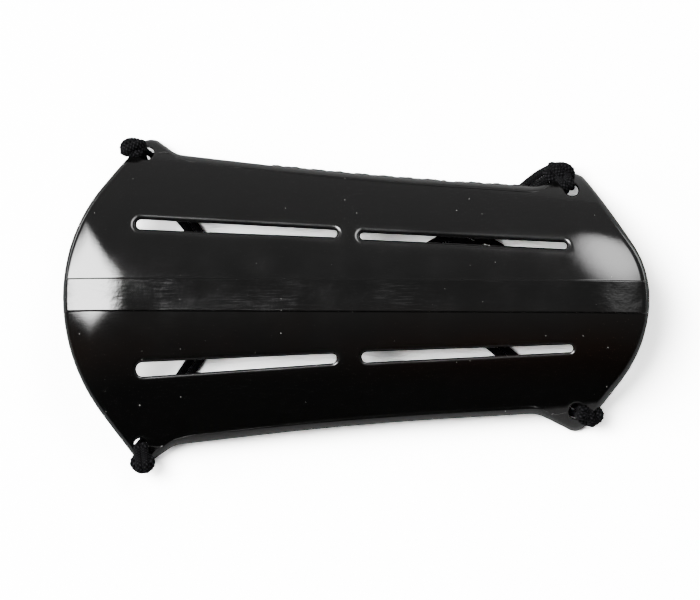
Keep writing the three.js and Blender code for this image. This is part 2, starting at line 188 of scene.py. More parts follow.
# Scuffs: noise drawn out along X, kept where it passes a limit and where a wide noise allows it
def makeScuffGroup():
    group, given, result = newGroup("scuffs", "Fineness", "Limit")
    drawn = addStretch(group, given["Vector"], scuffShape["stretch"])
    fine = addNoise(group, drawn, given["Fineness"], scuffShape["fineDetail"])
    wide = addNoise(group, given["Vector"], *scuffShape["patches"])
    above = addMath(group, "SUBTRACT", fine, given["Limit"])
    streak = addProduct(group, above, scuffShape["sharpness"], clamp=True)
    patch = addRange(group, wide, *scuffShape["patchRange"])
    feed(group, result, addProduct(group, streak, patch, clamp=True))
    return group


speckGroup = makeSpeckGroup()
scuffGroup = makeScuffGroup()


def newMaterial(name, **constants):
    material = bpy.data.materials.new(name)
    material.use_nodes = True
    tree = material.node_tree
    shader = tree.nodes["Principled BSDF"]
    for socket, value in constants.items():
        shader.inputs[socket].default_value = value
    return material, tree, shader, addNode(tree, "TexCoord")["Object"]


def bumpShader(tree, shader, height, strength, distance):
    bump = addNode(tree, "Bump", {"Height": height, "Strength": strength, "Distance": distance})
    feed(tree, shader.inputs["Normal"], bump["Normal"])


def attributeValue(tree, name):
    return addNode(tree, "Attribute", attribute_name=name)["Fac"]


# Each noise is given by its scale and detail. A pair "off and on the band" has one amount for the
# shell and another for the string band.
glossBlack = {
    "dark": (0.0007, 0.00072, 0.0007, 1),
    "warm": (0.0011, 0.0006, 0.0004, 1),
    "warmLine": (-0.015, 0.013),     # where along Y the brown tint lies, and how far it reaches
    "clouds": (22.0, 3.0),
    "cloudRange": (0.35, 0.6),
    "dust": (0.09, 0.09, 0.085, 1),
    "specks": [{"Scale": 260.0, "Share": 0.07, "Size": 0.034},
               {"Scale": 90.0, "Share": 0.035, "Size": 0.018}],
    "speckRoughness": 0.4,
    "scuff": (0.0012, 0.0012, 0.0012, 1),
    "scuffs": {"Fineness": 3200.0, "Limit": 0.52},
    "scuffAmount": (0.12, 1.0),      # off and on the band
    "scuffRoughness": 0.08,
    "scuffDepth": -0.02,
    "smears": (75.0, 4.0),
    "smearRange": (0.3, 0.75),
    "roughness": (0.06, 0.14),
    "rimRoughness": 0.12,
    "sinkMarks": (60.0, 1.0),
    "grain": (1400.0, 2.0),
    "grainHeight": 0.02,
    "brushing": (3200.0, 3.0),
    "brushingStretch": (0.04, 1.0, 1.0),
    "brushingHeight": (0.04, 0.045),     # off and on the band
    "ripples": (230.0, 3.0),
    "rippleHeight": (0.2, 0.75),         # off and on the band
    "bump": (0.35, 0.0003),
}


def makeGlossBlack():
    material, tree, shader, place = newMaterial("blackMouldedPlastic", **{"IOR": 1.49})
    look = glossBlack
    band = attributeValue(tree, "band")

    def offAndOnBand(amounts):
        return addRange(tree, band, 0.0, 1.0, *amounts)

    # colour: brown in patches along one line, then scuffs, then pale dust
    middle, reach = look["warmLine"]
    fromLine = addMath(tree, "ABSOLUTE", addMath(tree, "SUBTRACT", addAxes(tree, place)["Y"], middle))
    clouds = addRange(tree, addNoise(tree, place, *look["clouds"]), *look["cloudRange"])
    warmShare = addProduct(tree, clouds, addRange(tree, fromLine, reach, 0.0))
    tint = addMix(tree, warmShare, look["dark"], look["warm"])
    scuffs = addProduct(tree, addGroup(tree, scuffGroup, Vector=place, **look["scuffs"]),
                        offAndOnBand(look["scuffAmount"]))
    scuffed = addMix(tree, scuffs, tint, look["scuff"])
    specks = addMath(tree, "MAXIMUM", *[addGroup(tree, speckGroup, Vector=place, **kind)
                                        for kind in look["specks"]])
    feed(tree, shader.inputs["Base Color"], addMix(tree, specks, scuffed, look["dust"]))

    # roughness: smears all over, and more in the scuffs, on the rim and in the dust
    smears = addRange(tree, addNoise(tree, place, *look["smears"]), *look["smearRange"],
                      *look["roughness"])
    feed(tree, shader.inputs["Roughness"], addSum(
        tree, smears,
        addProduct(tree, scuffs, look["scuffRoughness"]),
        addProduct(tree, attributeValue(tree, "edge"), look["rimRoughness"]),
        addProduct(tree, specks, look["speckRoughness"])))

    # relief: shallow sink marks, grain, brushing along X, ripples and scuffs
    brushed = addStretch(tree, place, look["brushingStretch"])
    relief = addSum(
        tree, addNoise(tree, place, *look["sinkMarks"]),
        addProduct(tree, addNoise(tree, place, *look["grain"]), look["grainHeight"]),
        addProduct(tree, addNoise(tree, brushed, *look["brushing"]),
                   offAndOnBand(look["brushingHeight"])),
        addProduct(tree, addNoise(tree, place, *look["ripples"]), offAndOnBand(look["rippleHeight"])),
        addProduct(tree, scuffs, look["scuffDepth"]))
    bumpShader(tree, shader, relief, *look["bump"])
    return material


flashLook = {
    "dark": (0.0015, 0.0015, 0.0015, 1),
    "pale": (0.012, 0.012, 0.012, 1),
    "paleRange": (0.5, 0.8),
    "tears": (1800.0, 4.0),
    "roughness": (0.3, 0.7, 0.6, 0.9),       # the noise from and to, the roughness from and to
    "bump": (0.8, 0.0002),
}


def makeFlashPlastic():
    material, tree, shader, place = newMaterial("tornFlashPlastic", **{"Specular IOR Level": 0.06})
    look = flashLook
    tears = addNoise(tree, place, *look["tears"])
    colour = addMix(tree, addRange(tree, tears, *look["paleRange"]), look["dark"], look["pale"])
    feed(tree, shader.inputs["Base Color"], colour)
    feed(tree, shader.inputs["Roughness"], addRange(tree, tears, *look["roughness"]))
    bumpShader(tree, shader, tears, *look["bump"])
    return material


cordLook = {
    # the first colour is a painted shade for the braid's low grooves, far darker than the yarn
    "grooveShade": (0.0001, 0.0001, 0.00012, 1),
    "yarn": (0.009, 0.009, 0.0098, 1),
    "ridge": (0.45, 0.95),                   # where in the weave's height the yarn's colour comes in
    "lint": (0.024, 0.024, 0.0255, 1),
    "lintNoise": (1500.0, 5.0, 0.7),
    "lintShare": (0.62, 0.78, 0.0, 0.5),     # the noise from and to, the share from and to
    "fibres": (5200.0, 3.0, 0.65),
    "fibreShade": (0.3, 0.7, 0.55, 1.15),
    "roughness": (0.2, 0.8, 0.7, 0.95),
    "bump": (0.7, 0.00022),
}


def makeBraidedCord():
    material, tree, shader, place = newMaterial("blackBraidedCord", **{
        "Sheen Weight": 0.003, "Sheen Roughness": 0.4, "Specular IOR Level": 0.018})
    look = cordLook
    fibres = addNoise(tree, place, *look["fibres"])
    # painted shade: the colour darkens to the groove shade where the weave is low, between the yarns,
    # and the fibres' tone varies at random on the ridges
    ridge = addRange(tree, attributeValue(tree, "weave"), *look["ridge"])
    litAndFibreTone = addProduct(tree, ridge, addRange(tree, fibres, *look["fibreShade"]), clamp=True)
    yarn = addMix(tree, litAndFibreTone, look["grooveShade"], look["yarn"])
    lint = addRange(tree, addNoise(tree, place, *look["lintNoise"]), *look["lintShare"])
    feed(tree, shader.inputs["Base Color"], addMix(tree, lint, yarn, look["lint"]))
    feed(tree, shader.inputs["Roughness"], addRange(tree, fibres, *look["roughness"]))
    bumpShader(tree, shader, fibres, *look["bump"])
    return material


paper = {
    "low": (0.85, 0.85, 0.845, 1),
    "high": (0.88, 0.88, 0.875, 1),
    "cloudScale": 9.0,
    "seen": 2.6,
    "mirrored": (0.11, 1.6),         # near the guard, and out beyond its two far corners
    "cornerX": 0.6,                  # corner = the lower of y and cornerX |x| - cornerY y
    "cornerY": 0.35,
    "cornerRange": (0.06, 0.11),
}


def makePaper():
    # the camera sees the floor brighter than it lights the guard, as in an overexposed picture,
    # and the gloss mirrors it darker but for the side of the two far corners
    material, tree, shader, place = newMaterial("paleFloor")
    tree.nodes.remove(shader)
    colour = addMix(tree, addNoise(tree, place, paper["cloudScale"]), paper["low"], paper["high"])
    axes = addAxes(tree, place)
    along = addProduct(tree, addMath(tree, "ABSOLUTE", axes["X"]), paper["cornerX"])
    across = addProduct(tree, axes["Y"], paper["cornerY"])
    corner = addMath(tree, "MINIMUM", addMath(tree, "SUBTRACT", along, across), axes["Y"])
    mirrored = addRange(tree, corner, *paper["cornerRange"], *paper["mirrored"])
    rays = addNode(tree, "LightPath")
    seen = addRange(tree, rays["Is Camera Ray"], 0.0, 1.0, 1.0, paper["seen"])
    gloss = rays["Is Glossy Ray"]
    share = addSum(tree, addProduct(tree, seen, addMath(tree, "SUBTRACT", 1.0, gloss)),
                   addProduct(tree, gloss, mirrored))
    scaled = addNode(tree, "VectorMath", {0: colour, "Scale": share}, operation="SCALE")[0]
    plain = addNode(tree, "BsdfDiffuse", {"Color": scaled})[0]
    feed(tree, tree.nodes["Material Output"].inputs["Surface"], plain)
    return material


plasticMaterial = makeGlossBlack()
flashMaterial = makeFlashPlastic()
cordMaterial = makeBraidedCord()
floorMaterial = makePaper()
print("materials made")


# Meshes from whole arrays

def makeObject(name, points, faces, material, values=None):
    mesh = bpy.data.meshes.new(name)
    mesh.from_pydata(points.tolist(), [], faces)
    mesh.polygons.foreach_set("use_smooth", np.ones(len(mesh.polygons), bool))
    for label, numbers in (values or {}).items():
        attribute = mesh.attributes.new(label, "FLOAT", "POINT")
        attribute.data.foreach_set("value", np.asarray(numbers, np.float32))
    mesh.materials.append(material)
    mesh.update()
    piece = bpy.data.objects.new(name, mesh)
    bpy.context.scene.collection.objects.link(piece)
    return piece


def gridFaces(index, keep=None):
    # four corners of each cell of a grid of point numbers, counter-clockwise
    corners = np.stack([index[:-1, :-1], index[1:, :-1], index[1:, 1:], index[:-1, 1:]], axis=-1)
    return corners[keep] if keep is not None else corners.reshape(-1, 4)


def stripFaces(upper, lower):
    # cells between two closed rings with as many points each
    return np.stack([upper, lower, np.roll(lower, -1), np.roll(upper, -1)], axis=-1)


def mix(first, second, share):
    return first + (second - first) * share


def smooth(value, low, high):
    share = np.clip((value - low) / (high - low), 0, 1)
    return share * share * (3 - 2 * share)


def lengthAlong(line):
    return np.concatenate([[0], np.cumsum(np.linalg.norm(np.diff(line, axis=0), axis=1))])


def pointsAt(line, measure, at):
    return np.stack([np.interp(at, measure, column) for column in line.T], axis=1)


# Cords

cord = {
    "diameter": 0.0022,
    "spacing": 0.00255,      # between the middles of the two strands of a pair
    "sides": 40,
    "step": 0.00014,
    "swell": 1.07,           # the soft braid fills the space between the strands of a pair
    "carriers": 5,           # yarns that wind one way round, and as many the other way
    "braidSlope": 1.8,       # how far the yarns run round for what they run along
    "relief": 0.17,
    "lying": 0.00145,        # height of the middle of a cord that lies on the floor
    "curveSteps": 60,        # on each stretch between two points of a route
    "pathStep": 8,           # every eighth point of its line
}

# Middle lines of the pairs, from ear to ear or knot. A point without a height lies on the floor.
elbowRoute = [
    (-0.0652, 0.0449, 0.0023), (-0.0622, 0.037, 0.0015), (-0.0598, 0.033), (-0.0572, 0.0293),
    (-0.0514, 0.0226), (-0.0466, 0.0146), (-0.0438, 0.0056), (-0.0436, -0.0034),
    (-0.0462, -0.0122), (-0.0502, -0.0186), (-0.0538, -0.024), (-0.0584, -0.0312),
    (-0.0606, -0.0348), (-0.0626, -0.0386, 0.0015), (-0.0653, -0.0448, 0.0023),
]
wristFarRoute = [
    (0.0618, 0.041, 0.0044), (0.0576, 0.0389, 0.0022), (0.0533, 0.0356), (0.0482, 0.0312),
    (0.043, 0.0264, 0.0017), (0.039, 0.0228, 0.0024), (0.0366, 0.0208, 0.0029),
]
wristNearRoute = [
    (0.031, 0.0188, 0.0024), (0.0268, 0.0183, 0.0017), (0.0226, 0.0158), (0.0202, 0.0112),
    (0.021, 0.006), (0.0248, 0.0016), (0.03, -0.0026), (0.036, -0.0076), (0.0416, -0.0122),
    (0.047, -0.0166), (0.0501, -0.0192), (0.0532, -0.0218), (0.0596, -0.027),
    (0.0646, -0.031, 0.0015), (0.0679, -0.0336, 0.0023),
]


def curveThrough(points, step):
    # Catmull-Rom spline through the points: half of 2 b + (c - a) t + (2 a - 5 b + 4 c - d) t^2
    # + (3 b - a - 3 c + d) t^3 on each stretch, then points evenly apart along its length
    p = np.asarray(points, float)
    p = np.vstack([2 * p[0] - p[1], p, 2 * p[-1] - p[-2]])
    a, b, c, d = (p[k:len(p) - 3 + k, None, :] for k in range(4))
    t = np.linspace(0, 1, cord["curveSteps"], endpoint=False)[None, :, None]
    curve = (2 * b + (c - a) * t + (2 * a - 5 * b + 4 * c - d) * t ** 2
             + (3 * b - a - 3 * c + d) * t ** 3) / 2
    curve = np.vstack([curve.reshape(-1, 3), p[-2]])
    length = lengthAlong(curve)
    count = max(int(round(length[-1] / step)), 4)
    return pointsAt(curve, length, np.linspace(0, length[-1], count + 1)), length[-1]


def strandRoute(route, hand):
    # the pair's middle line moved half the spacing to its left (1) or right (-1), in plan
    p = np.array([(*point, cord["lying"])[:3] for point in route])
    along = np.vstack([p[1] - p[0], p[2:] - p[:-2], p[-1] - p[-2]])[:, :2]
    along /= np.linalg.norm(along, axis=1, keepdims=True)
    aside = hand * cord["spacing"] / 2
    return np.column_stack([p[:, 0] - along[:, 1] * aside, p[:, 1] + along[:, 0] * aside, p[:, 2]])


def braidTube(line, radius, towards, closed=False, squeeze=None):
    # A round section carried along the line: line + r (e1 cos a + e2 sin a), where e1 is the given
    # direction squared to the line and r = radius (1 + relief (2 w - 1)). The yarns that wind to
    # the left lie at |cos A| = 1 and to the right at |cos B| = 1, and each passes over and under
    # the others in turn: w is the higher of |cos A| (1 + cos A cos B) / 2 and
    # |cos B| (1 - cos A cos B) / 2. Open ends are rounded, and squeeze scales the section.
    if closed:
        along = np.roll(line, -1, axis=0) - np.roll(line, 1, axis=0)
        steps = np.linalg.norm(line - np.roll(line, 1, axis=0), axis=1)
    else:
        along = np.gradient(line, axis=0)
        steps = np.concatenate([[0], np.linalg.norm(np.diff(line, axis=0), axis=1)])
    along /= np.linalg.norm(along, axis=1, keepdims=True)
    towards = np.broadcast_to(np.asarray(towards, float), line.shape)
    first = towards - along * np.sum(towards * along, axis=1, keepdims=True)
    first /= np.linalg.norm(first, axis=1, keepdims=True)
    second = np.cross(along, first)
    length = np.cumsum(steps)
    total = length[-1]
    angle = np.linspace(0, 2 * np.pi, cord["sides"], endpoint=False)
    turns = cord["carriers"] * angle[None, :]
    run = length * cord["carriers"] / radius * cord["braidSlope"]
    if closed:
        whole = round(total * cord["carriers"] * cord["braidSlope"] / radius / 2 / np.pi)
        run = length * 2 * np.pi * whole / total
    left = np.cos((turns + run[:, None]) / 2)
    right = np.cos((turns - run[:, None]) / 2)
    weave = np.maximum(np.abs(left) * (1 + left * right), np.abs(right) * (1 - left * right)) / 2
    size = radius * (1 + cord["relief"] * (weave * 2 - 1))
    if not closed:
        fromEnd = np.minimum(length, total - length) / radius
        size = size * np.sqrt(np.clip(1 - (1 - np.clip(fromEnd, 0.02, 1)) ** 2, 0, 1))[:, None]
    if squeeze is not None:
        size = size * squeeze[:, None]
    ring = (first[:, None, :] * (size * np.cos(angle))[:, :, None]
            + second[:, None, :] * (size * np.sin(angle))[:, :, None])
    points = (line[:, None, :] + ring).reshape(-1, 3)
    index = np.arange(len(points)).reshape(len(line), cord["sides"])
    index = np.concatenate([index, index[:, :1]], axis=1)
    if closed:
        index = np.concatenate([index, index[:1]], axis=0)
    faces = gridFaces(index)[:, ::-1].tolist()
    if not closed:
        faces.append(index[0, :-1].tolist())
        faces.append(index[-1, :-1][::-1].tolist())
    return points, faces, weave.reshape(-1)


def joinParts(parts):
    # several tubes as one mesh
    points = np.concatenate([part[0] for part in parts])
    starts = np.cumsum([0] + [len(part[0]) for part in parts[:-1]])
    faces = [[corner + int(shift) for corner in face]
             for part, shift in zip(parts, starts) for face in part[1]]
    return points, faces, np.concatenate([part[2] for part in parts])


def makeCordPiece(name, ending, points, faces, weave):
    piece = makeObject(name + ending, points, faces, cordMaterial, {"weave": weave})
    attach(piece, "root")
    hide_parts(name)
    return piece


def makeStrand(name, route, hand):
    line, length = curveThrough(strandRoute(route, hand), cord["step"])
    tube = braidTube(line, cord["diameter"] / 2 * cord["swell"], (0, 0, 1))
    return makeCordPiece(name, "_braid", *tube), line, length


strands = {}
for letter, hand in (("a", 1), ("b", -1)):
    for pair, route in (("elbow", elbowRoute), ("wrist_far", wristFarRoute),
                        ("wrist_near", wristNearRoute)):
        name = pair + "_strand_" + letter
        strands[name] = makeStrand(name, route, hand)
        print(name, "length", round(strands[name][2], 4))


# Shell

shell = {
    "wall": 0.0022,
    "bandWidth": 0.0097,
    "bandRise": 0.00045,
    "bandShoulder": (-0.0001, 0.00024),      # from its edge inwards, and outwards
    "bandFrom": 0.0004,      # the string band is where the surface is lifted by more than this
    "rimDrop": 0.0022,
    "rimSteps": 11,
    "underRimSteps": 9,
    "underRimEdge": 0.3,     # how much of the rim's look goes on round its underside
    "rimWidth": {"elbowEnd": 0.0016, "elbowEar": 0.0013, "waist": 0.0024,
                 "wristEar": 0.0013, "wristEnd": 0.0024},
    "footSink": 0.00025,
    "earBlend": 0.012,
    "endFall": {"elbow": {"reach": 0.02, "drop": 0.004}, "wrist": {"reach": 0.026, "drop": 0.004}},
    "waist": {"elbow": 0.0454, "wrist": 0.0353},
    "waistBow": 0.0016,
    "waistBowRadius": 1.1,
    "ear": {
        "elbow": {"reach": 0.0507, "tip": 0.004, "rootRadius": 0.007, "rootAlong": 0.312},
        "wrist": {"reach": 0.0404, "tip": 0.004, "rootRadius": 0.01, "rootAlong": 0.312},
    },
    "endArc": {
        "elbow": {1: (0.057, 36.6), -1: (0.061, 36.2)},
        "wrist": {1: (0.0314, 32.2), -1: (0.043, 37.2)},
    },
    "hole": {
        "elbow": {1: (-0.0011, -0.0012), -1: (-0.0011, -0.0012)},
        "wrist": {1: (-0.0013, -0.002), -1: (-0.0003, -0.002)},
    },
    "holeRadius": 0.0022,
    "holeLip": 0.0006,
    "flankColumns": 42,
    "edgeRows": 190,
    "endSteps": 80,
    "tipSteps": 24,
    "bendSpacing": 0.006,    # a radian of turning counts as this much length when points are spaced
}

corners = [(end, side) for end in ("elbow", "wrist") for side in (1, -1)]

# How far from the middle line the lines along the band lie, close together at its shoulders
bandColumns = np.array([0, 12, 24, 35, 42, 45, 46.3, 47.3, 48.2, 49, 49.8, 50.7, 52, 54, 58]) / 1e4

# Vent slots: along is a share of the half length, out a share of the half width at the waist of
# that end, and the widths and the rounded lip are sizes
slots = [
    {"side": 1, "end": "elbow", "along": (-0.751, -0.066), "out": (0.484, 0.426),
     "width": (0.0031, 0.0022), "lip": 0.0017},
    {"side": -1, "end": "elbow", "along": (-0.748, -0.066), "out": (0.498, 0.42),
     "width": (0.0043, 0.0028), "lip": 0.00115},
    {"side": 1, "end": "wrist", "along": (0.013, 0.716), "out": (0.527, 0.448),
     "width": (0.002, 0.0019), "lip": 0.0017},
    {"side": -1, "end": "wrist", "along": (0.02, 0.737), "out": (0.527, 0.445),
     "width": (0.0031, 0.0022), "lip": 0.00115},
]


def arcLine(centre, radius, start, stop, count=40):
    # centre + radius (cos a, sin a), with a from start to stop
    angle = np.linspace(start, stop, count + 1)
    return np.stack([centre[0] + radius * np.cos(angle), centre[1] + radius * np.sin(angle)], axis=1)


def cornerLine(before, corner, after, radius):
    # the arc of that radius that touches both straight stretches at a corner
    a = (np.asarray(before) - corner) / np.linalg.norm(np.asarray(before) - corner)
    b = (np.asarray(after) - corner) / np.linalg.norm(np.asarray(after) - corner)
    half = math.acos(float(a @ b)) / 2
    middle = (a + b) / np.linalg.norm(a + b) * radius / math.sin(half)
    reach = radius / math.tan(half)
    start = math.atan2(*(a * reach - middle)[::-1])
    sweep = math.atan2(*(b * reach - middle)[::-1]) - start
    sweep -= 2 * math.pi * round(sweep / (2 * math.pi))
    return arcLine(np.asarray(corner) + middle, radius, start, start + sweep)


def evenLine(line, count):
    # points evenly apart in the line's length plus bendSpacing for each radian that it turns
    step = np.diff(line, axis=0)
    length = np.hypot(step[:, 0], step[:, 1])
    heading = np.unwrap(np.arctan2(step[:, 1], step[:, 0]))
    turn = np.abs(np.diff(heading, prepend=heading[0]))
    measure = np.concatenate([[0], np.cumsum(length + shell["bendSpacing"] * turn)])
    return pointsAt(line, measure, np.linspace(0, measure[-1], count + 1))


def endPlan(end, side):
    # x is counted from the tip of the end inwards: an arc about the middle line, a straight flank
    # that touches it, and the ear's round tip that the flank touches
    radius, flank = shell["endArc"][end][side]
    ear = shell["ear"][end]
    angle = math.radians(flank)
    joint = np.array([radius * (1 - math.cos(angle)), radius * math.sin(angle)])
    run = (ear["reach"] - ear["tip"] * (1 - math.sin(angle)) - joint[1]) / math.cos(angle)
    centre = np.array([joint[0] + run * math.sin(angle) + ear["tip"] * math.cos(angle),
                       ear["reach"] - ear["tip"]])
    return {"radius": radius, "angle": angle, "ear": ear, "centre": centre}


def earLeave(plan, root):
    # the angle at which a line from the root corner touches the ear's round tip
    away = root - plan["centre"]
    return math.atan2(away[1], away[0]) + math.acos(plan["ear"]["tip"] / np.hypot(*away))


def endLine(end, plan, root):
    # from the middle of the end to the middle of the ear's tip
    inset = plan["radius"] - shell["rimWidth"][end + "End"]
    angle = np.arcsin(bandColumns / inset)
    band = np.stack([plan["radius"] * (1 - np.cos(angle)), plan["radius"] * np.sin(angle)], axis=1)
    start = math.pi - plan["angle"]
    arc = arcLine((plan["radius"], 0), plan["radius"], math.pi - angle[-1], start,
                  shell["endSteps"])
    middle = (start + earLeave(plan, root)) / 2
    tip = arcLine(plan["centre"], plan["ear"]["tip"], start, middle, shell["tipSteps"])
    rest = evenLine(np.vstack([arc, tip]), shell["flankColumns"])
    return np.vstack([band, rest[1:]])


def edgeLine(elbow, wrist, roots, waist):
    # from the middle of the elbow ear's tip along the waist to the middle of the wrist ear's tip
    def earLine(plan, root):
        leave = earLeave(plan, root)
        middle = (math.pi - plan["angle"] + leave) / 2
        tip = arcLine(plan["centre"], plan["ear"]["tip"], middle, leave, shell["tipSteps"])
        return np.vstack([tip, cornerLine(tip[-1], root, waist, plan["ear"]["rootRadius"])])
    acrossEnds = np.array([2 * halfLength, 0])
    turned = np.array([-1, 1])
    bow = cornerLine(roots[0], waist, acrossEnds + turned * roots[1], shell["waistBowRadius"])
    wristPart = acrossEnds + turned * earLine(wrist, roots[1])
    return evenLine(np.vstack([earLine(elbow, roots[0]), bow, wristPart[::-1]]), shell["edgeRows"])


def sideLines(side):
    elbow, wrist = endPlan("elbow", side), endPlan("wrist", side)
    roots = [np.array([halfLength * (1 - 2 * shell["ear"][end]["rootAlong"]), shell["waist"][end]])
             for end in ("elbow", "wrist")]
    waist = np.array([halfLength, sum(shell["waist"].values()) / 2 - shell["waistBow"]])

    def fromElbow(plan):
        return np.stack([plan[..., 0] - halfLength, side * plan[..., 1]], axis=-1)

    def fromWrist(plan):
        return np.stack([halfLength - plan[..., 0], side * plan[..., 1]], axis=-1)

    return {
        "elbow": fromElbow(endLine("elbow", elbow, roots[0])),
        "wrist": fromWrist(endLine("wrist", wrist, roots[1])),
        "edge": fromElbow(edgeLine(elbow, wrist, roots, waist)),
        "elbowEar": fromElbow(elbow["centre"]),
        "wristEar": fromWrist(wrist["centre"]),
    }


lines = {side: sideLines(side) for side in (1, -1)}
acrossCount = len(lines[1]["elbow"]) - 1
alongCount = len(lines[1]["edge"]) - 1


def closedLoop():
    # counter-clockwise from the middle of the near elbow ear's tip
    near, far = lines[-1], lines[1]
    return np.concatenate([
        near["edge"], near["wrist"][:-1][::-1], far["wrist"][1:],
        far["edge"][:-1][::-1], far["elbow"][:-1][::-1], near["elbow"][1:-1],
    ])


def outwardOf(loop):
    along = np.roll(loop, -1, axis=0) - np.roll(loop, 1, axis=0)
    along /= np.linalg.norm(along, axis=1, keepdims=True)
    return np.stack([along[:, 1], -along[:, 0]], axis=1)


def rimWidthAt(points):
    # narrow at the ears, wider along the waist and at the ends
    x, y = points[:, 0], points[:, 1]
    width = np.zeros(len(points))
    for end, side in corners:
        ear, tip = lines[side][end + "Ear"], shell["ear"][end]["tip"]
        plain = np.where(np.abs(x) > abs(ear[0]), shell["rimWidth"][end + "End"],
                         shell["rimWidth"]["waist"])
        away = smooth(np.hypot(x - ear[0], y - ear[1]), tip, tip + shell["earBlend"])
        here = mix(shell["rimWidth"][end + "Ear"], plain, away)
        width = np.where(((x < 0) == (end == "elbow")) & ((y >= 0) == (side == 1)), here, width)
    return width


crownLine = crownHeight - shell["bandRise"]
tipDrop = crownLine - shell["rimDrop"] - shell["wall"] / 2 + shell["footSink"]


def archRadiusAt(x):
    # circle through the crown and the tips of the ears, evenly changing from the elbow to the wrist
    elbow, wrist = ((shell["ear"][end]["reach"] ** 2 + tipDrop ** 2) / (2 * tipDrop)
                    for end in ("elbow", "wrist"))
    start, stop = lines[1]["elbowEar"][0], lines[1]["wristEar"][0]
    return mix(elbow, wrist, (x - start) / (stop - start))


def endDroop(x):
    # drop (how far into the last stretch / its length)^2
    elbow, wrist = shell["endFall"]["elbow"], shell["endFall"]["wrist"]
    reach = np.where(x < 0, elbow["reach"], wrist["reach"])
    drop = np.where(x < 0, elbow["drop"], wrist["drop"])
    return drop * (np.maximum(0, np.abs(x) - halfLength + reach) / reach) ** 2


def archHeight(x, y):
    # crown line - R + sqrt(R^2 - y^2) - droop
    radius = archRadiusAt(x)
    return crownLine - radius + np.sqrt(radius ** 2 - y ** 2) - endDroop(x)


def bandLift(x, y):
    # what the flat band stands above the arch, fading over the shoulder
    edge = shell["bandWidth"] / 2
    share = 1 - smooth(np.abs(y), *(edge + shift for shift in shell["bandShoulder"]))
    return share * (crownHeight - endDroop(x) - archHeight(x, y))


def archNormal(x, y):
    nudge = 0.00005
    dx = (archHeight(x + nudge, y) - archHeight(x - nudge, y)) / (2 * nudge)
    dy = (archHeight(x, y + nudge) - archHeight(x, y - nudge)) / (2 * nudge)
    normal = np.stack([-dx, -dy, np.ones_like(dx)], axis=-1)
    return normal / np.linalg.norm(normal, axis=-1, keepdims=True)


def innerPoint(x, y):
    # the point of the inner face under a plan point, one wall in from the outer face
    outer = np.stack([x, y, archHeight(x, y)], axis=-1)
    return outer - archNormal(x, y) * shell["wall"]


def innerHeight(x, y):
    # height of the inner face right under (x, y): the outer point is found in three steps
    u, v = x, y
    for _ in range(3):
        normal = archNormal(u, v)
        u, v = x + normal[..., 0] * shell["wall"], y + normal[..., 1] * shell["wall"]
    return archHeight(u, v) - archNormal(u, v)[..., 2] * shell["wall"]


def topPlan(inset):
    # Between the four inset edges: straight lines from the elbow end to the wrist end, moved by
    # what the long edge lies off its own straight line, times the square of the share out
    a, n = acrossCount, alongCount
    j = np.arange(-a, a + 1)
    elbow = inset[(n * 2 + a * 3 - j) % len(inset)]
    wrist = inset[n + a + j]
    near = inset[np.arange(n + 1)]
    far = inset[(n * 2 + a * 2 - np.arange(n + 1)) % len(inset)]
    shares = [(edge[:, 0] - edge[0, 0]) / (edge[-1, 0] - edge[0, 0]) for edge in (near, far)]
    u = (sum(shares) / 2)[:, None, None]
    out = np.abs(j) - len(bandColumns) + 1
    bend = (np.maximum(out, 0) / out[-1]) ** 2
    nearOff = near[:, None] - mix(elbow[:1][None], wrist[:1][None], u)
    farOff = far[:, None] - mix(elbow[-1:][None], wrist[-1:][None], u)
    off = np.where((j < 0)[None, :, None], nearOff, farOff)
    return mix(elbow[None], wrist[None], u) + bend[None, :, None] * off


def blockBorder(index, block):
    # the border of a block of cells, counter-clockwise
    r0, r1, c0, c1 = block
    return np.concatenate([index[r0:r1 + 1, c0], index[r1, c0 + 1:c1 + 1],
                           index[r0:r1, c1][::-1], index[r0, c0 + 1:c1][::-1]])


def blockAround(distance, clear):
    # the block of cells with one line to spare round every point that is nearer than clear
    rows, columns = np.nonzero(distance < clear)
    return (max(rows.min() - 1, 0), min(rows.max() + 1, distance.shape[0] - 1),
            max(columns.min() - 1, 0), min(columns.max() + 1, distance.shape[1] - 1))


openingLook = {
    "slotSpare": 0.0007,             # how far beyond its lip the grid is left out round a slot
    "holeSpare": 0.0017,             # and round an ear hole
    "holeClear": 0.0002,
    "approach": (0.35, 0.7, 1.0),    # where rings lie between the grid and the lip
    "approachEdge": 0.3,
    "lipShare": 0.75,                # the most of the space to the grid that a lip takes
    "lipSteps": 8,
    "innerSteps": ((0.0, 0.0003), (0.00008, 0.0001), (0.0003, 0.0)),     # out from the wall, and up
}


def slotSpine(slot):
    # the two centres of the slot's round ends
    out = slot["side"] * np.array(slot["out"]) * shell["waist"][slot["end"]]
    along = np.array(slot["along"]) * halfLength + np.array(slot["width"]) / 2 * (1, -1)
    return np.stack([along, out], axis=1)


def aroundSlot(slot):
    # nearest point of the spine, and the slot's half width there
    spine = slotSpine(slot)
    run = spine[1] - spine[0]

    def nearest(points):
        share = np.clip((points - spine[0]) @ run / (run @ run), 0, 1)
        foot = spine[0] + share[..., None] * run
        return foot, mix(slot["width"][0], slot["width"][1], share) / 2
    return nearest


def holePlace(end, side):
    along, out = shell["hole"][end][side]
    ear = lines[side][end + "Ear"]
    return np.array([ear[0] + along, ear[1] + side * out])


def aroundHole(end, side):
    centre = holePlace(end, side)

    def nearest(points):
        return np.broadcast_to(centre, points.shape), np.full(points.shape[:-1], shell["holeRadius"])
    return nearest


# Each opening: how to find its nearest point, its lip, and how far off the grid is left whole
openings = [(aroundSlot(slot), slot["lip"], slot["lip"] + openingLook["slotSpare"]) for slot in slots]
openings += [(aroundHole(end, side), shell["holeLip"], openingLook["holeSpare"])
             for end, side in corners]


